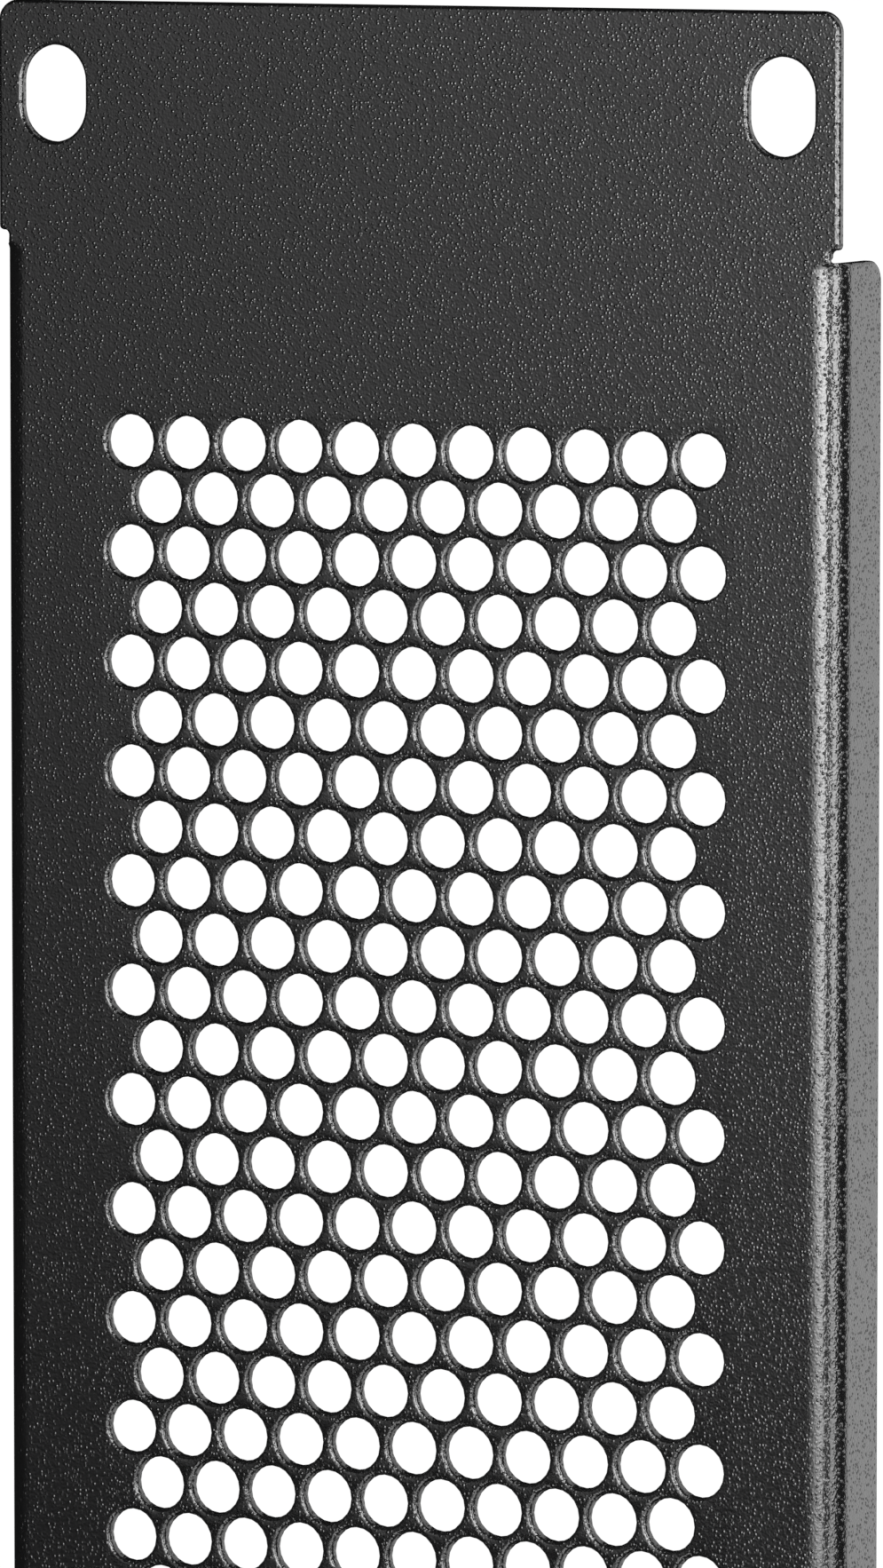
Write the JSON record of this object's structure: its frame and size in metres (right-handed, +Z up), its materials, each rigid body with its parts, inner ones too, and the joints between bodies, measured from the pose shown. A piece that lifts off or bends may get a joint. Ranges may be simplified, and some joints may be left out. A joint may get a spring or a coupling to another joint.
{
  "type": "rack blanking panel",
  "caption": "Flat steel panel with a staggered field of round vent holes, folded back along both long edges, with slotted ears that screw to rack rails.",
  "frame": {"origin": "centre of the plane that the backs of the two ears mount against, midway between the four screw slots", "axes": "+X along the panel's length, +Z up its height as it hangs in a rack, and the front faces -Y"},
  "size_m": [0.4826, 0.0092, 0.0882],
  "materials": {
    "powder_coat": "black powder coat with a fine sandy texture and a low sheen"
  },
  "bodies": {
    "root": {"vented_panel": "powder_coat"}
  },
  "joints": []
}
